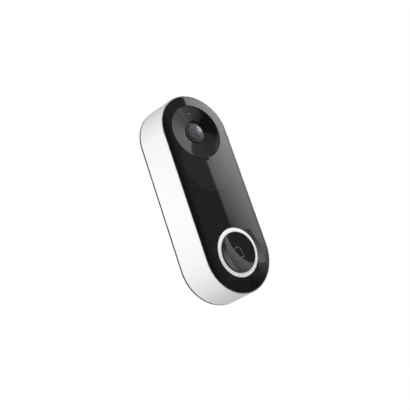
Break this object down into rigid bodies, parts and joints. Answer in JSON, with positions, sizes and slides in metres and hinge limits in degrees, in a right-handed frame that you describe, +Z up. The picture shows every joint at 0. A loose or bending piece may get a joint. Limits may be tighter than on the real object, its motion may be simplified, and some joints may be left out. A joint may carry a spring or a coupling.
{
  "type": "video doorbell",
  "caption": "Battery video doorbell with a round-ended white shell, glossy black front, wide-angle camera and lit call button, hung on a wall bracket.",
  "frame": {"origin": "middle of the wall bracket's flat back face, on the wall", "axes": "+Z up along the doorbell's length, +Y into the wall, -Y the way the doorbell faces, +X to the right seen from in front"},
  "size_m": [0.0578, 0.0274, 0.1394],
  "materials": {
    "shell_white": "satin",
    "panel_black": "high gloss",
    "smoked": "high gloss",
    "satin_black": "satin",
    "lens_glass": "coated",
    "diffuser": "satin",
    "rubber_black": "matt",
    "frame_grey": "matt",
    "circuit_board": "satin",
    "chip_black": "matt",
    "tin_plate": "satin",
    "steel": "brushed",
    "cell_wrap": "satin",
    "foam": "matt",
    "lens_sheet": "matt",
    "flex_amber": "satin",
    "wire_red": "satin",
    "wire_black": "satin",
    "led": "gloss"
  },
  "bodies": {
    "bracket": {"wall_bracket": "satin_black", "release_latch": "steel"},
    "doorbell": {"outer_housing": "shell_white", "front_panel": "panel_black", "lens_trim_ring": "panel_black", "sensor_window": "smoked", "ir_cut_filter": "smoked", "camera_bezel": "satin_black", "lens_barrel": "satin_black", "lens_holder": "satin_black", "rear_cover": "satin_black", "lens_cover": "lens_glass", "lens_element_front": "lens_glass", "lens_element_rear": "lens_glass", "light_ring": "diffuser", "status_light_pipe": "diffuser", "daylight_pipe": "diffuser", "battery_socket": "diffuser", "button_pad": "rubber_black", "mic_gasket": "rubber_black", "rear_seal": "rubber_black", "inner_frame": "frame_grey", "speaker_cone": "frame_grey", "sensor_board": "circuit_board", "night_board": "circuit_board", "main_board": "circuit_board", "button_board": "circuit_board", "charge_board": "circuit_board", "antenna": "circuit_board", "image_sensor": "chip_black", "daylight_sensor": "chip_black", "tact_switch": "chip_black", "reset_switch": "chip_black", "tamper_switch": "chip_black", "speaker_frame": "chip_black", "processor_shield": "tin_plate", "wifi_module": "tin_plate", "motion_sensor": "tin_plate", "microphone": "tin_plate", "cover_screw_1": "steel", "cover_screw_2": "steel", "cover_screw_3": "steel", "cover_screw_4": "steel", "speaker_magnet": "steel", "usb_port": "steel", "battery_cell": "cell_wrap", "battery_pad": "foam", "speaker_mesh": "foam", "motion_lens": "lens_sheet", "camera_ribbon": "flex_amber", "charge_ribbon": "flex_amber", "battery_lead_red": "wire_red", "battery_lead_black": "wire_black", "antenna_coax": "wire_black", "status_led": "led"},
    "button": {"button_cap": "panel_black"},
    "plunger": {"switch_plunger": "diffuser"},
    "port_cover": {"usb_cover": "rubber_black"},
    "reset": {"reset_button": "frame_grey"},
    "tamper": {"tamper_pin": "frame_grey"}
  },
  "joints": [
    {"name": "lift_off", "type": "slide", "parent": "bracket", "child": "doorbell", "axis": [0, 0, 1], "range_m": [0, 0.007], "deforming": ["release_latch"]},
    {"name": "button_press", "type": "slide", "parent": "doorbell", "child": "button", "axis": [0, 1, 0], "range_m": [0, 0.0006], "stiffness_N_per_m": 400, "springref_m": -0.002, "deforming": ["button_pad"]},
    {"name": "switch_press", "type": "slide", "parent": "doorbell", "child": "plunger", "axis": [0, 1, 0], "range_m": [0, 0.0003]},
    {"name": "port_cover_open", "type": "hinge", "parent": "doorbell", "child": "port_cover", "pos_m": [0.0135, -0.0025, -0.0575], "axis": [0, 0, -1], "range_deg": [0, 110], "stiffness_Nm_per_rad": 0.005},
    {"name": "reset_press", "type": "slide", "parent": "doorbell", "child": "reset", "axis": [0, -1, 0], "range_m": [0, 0.0005], "stiffness_N_per_m": 300, "springref_m": -0.002},
    {"name": "tamper_press", "type": "slide", "parent": "doorbell", "child": "tamper", "axis": [0, -1, 0], "range_m": [0, 0.0006], "stiffness_N_per_m": 300, "springref_m": -0.001}
  ],
  "couplings": [
    {"joint": "switch_press", "follows": "button_press", "ratio": 0.5}
  ]
}
